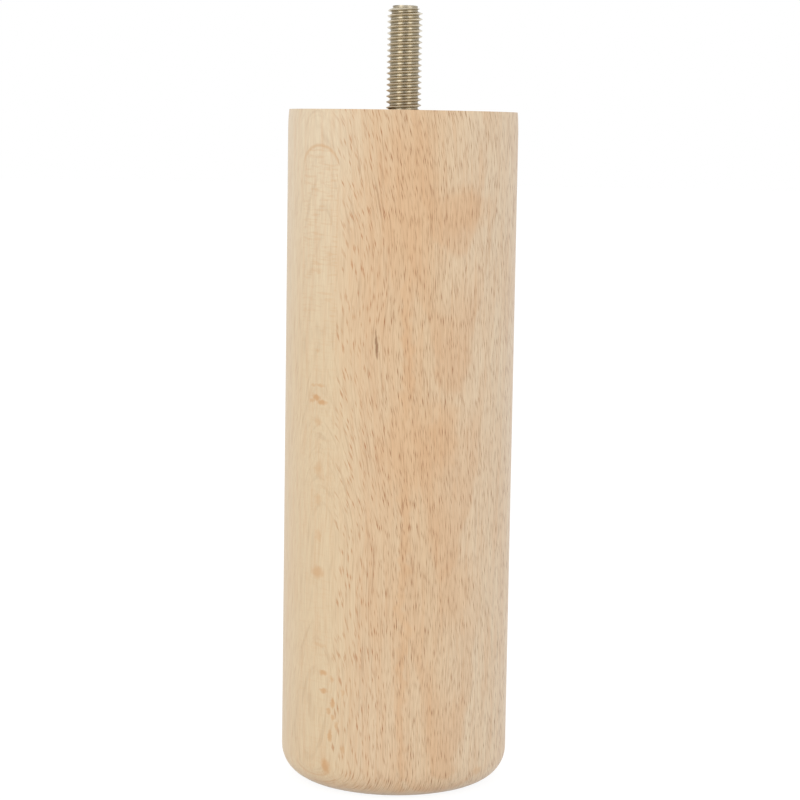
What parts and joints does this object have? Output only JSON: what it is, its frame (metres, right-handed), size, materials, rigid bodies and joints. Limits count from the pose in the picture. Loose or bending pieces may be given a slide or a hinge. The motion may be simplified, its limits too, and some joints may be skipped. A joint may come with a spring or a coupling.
{
  "type": "furniture leg",
  "caption": "Round straight wooden furniture leg with a rounded foot and a threaded steel stud standing out of the middle of its top.",
  "frame": {"origin": "centre of the leg's foot, on the floor it stands on", "axes": "+Z along the leg's axis, from the foot to the threaded stud; the leg is round about Z"},
  "size_m": [0.051, 0.051, 0.173],
  "materials": {
    "beech": "bare sanded beech, matt",
    "bolt_steel": "rolled thread, warm nickel-bright plating"
  },
  "bodies": {
    "root": {"leg_body": "beech", "hanger_bolt": "bolt_steel"}
  },
  "joints": []
}
